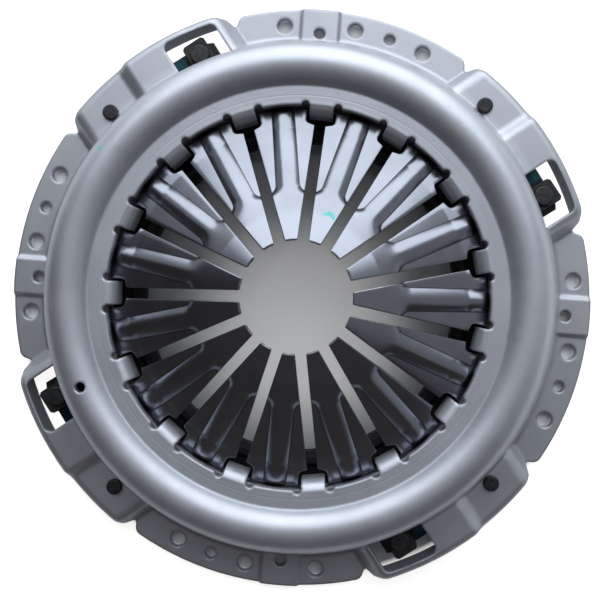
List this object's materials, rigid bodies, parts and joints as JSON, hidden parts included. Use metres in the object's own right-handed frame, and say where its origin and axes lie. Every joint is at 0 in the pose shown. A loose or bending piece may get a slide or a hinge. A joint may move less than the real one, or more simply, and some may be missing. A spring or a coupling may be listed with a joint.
{
  "type": "clutch pressure plate",
  "caption": "Round clutch pressure plate assembly: pressed cover with raised ring and bolting flange, slotted diaphragm spring, strap-driven plate that lifts along the engine axis.",
  "frame": {"origin": "engine axis in the plane of the flange's flywheel face, cover unbolted", "axes": "+Z along the engine axis towards the gearbox and the finger tips, +X through the middle bolt of one flange section, +Y through the middle bolt a quarter turn on"},
  "size_m": [0.333, 0.333, 0.0599],
  "materials": {
    "cover_steel": "bare drawn steel sheet, satin",
    "spring_steel": "heat-treated and peened spring steel",
    "wire": "hardened drawn wire",
    "cast_iron": "cast, with a ground friction face",
    "strap_steel": "blued spring-steel strip",
    "rivet_steel": "phosphated steel"
  },
  "bodies": {
    "cover": {"cover": "cover_steel", "diaphragm_spring": "spring_steel", "upper_pivot_ring": "wire", "lower_pivot_ring": "wire", "drive_strap_1_1": "strap_steel", "drive_strap_1_2": "strap_steel", "drive_strap_1_3": "strap_steel", "drive_strap_2_1": "strap_steel", "drive_strap_2_2": "strap_steel", "drive_strap_2_3": "strap_steel", "drive_strap_3_1": "strap_steel", "drive_strap_3_2": "strap_steel", "drive_strap_3_3": "strap_steel", "drive_strap_4_1": "strap_steel", "drive_strap_4_2": "strap_steel", "drive_strap_4_3": "strap_steel", "cover_rivet_1": "rivet_steel", "cover_rivet_2": "rivet_steel", "cover_rivet_3": "rivet_steel", "cover_rivet_4": "rivet_steel"},
    "plate": {"pressure_plate": "cast_iron", "lug_rivet_1": "rivet_steel", "lug_rivet_2": "rivet_steel", "lug_rivet_3": "rivet_steel", "lug_rivet_4": "rivet_steel"}
  },
  "joints": [
    {"name": "plate_lift", "type": "slide", "parent": "cover", "child": "plate", "axis": [0, 0, 1], "range_m": [0, 0.0045], "stiffness_N_per_m": 100000, "deforming": ["diaphragm_spring", "drive_strap_1_1", "drive_strap_1_2", "drive_strap_1_3", "drive_strap_2_1", "drive_strap_2_2", "drive_strap_2_3", "drive_strap_3_1", "drive_strap_3_2", "drive_strap_3_3", "drive_strap_4_1", "drive_strap_4_2", "drive_strap_4_3"]}
  ]
}
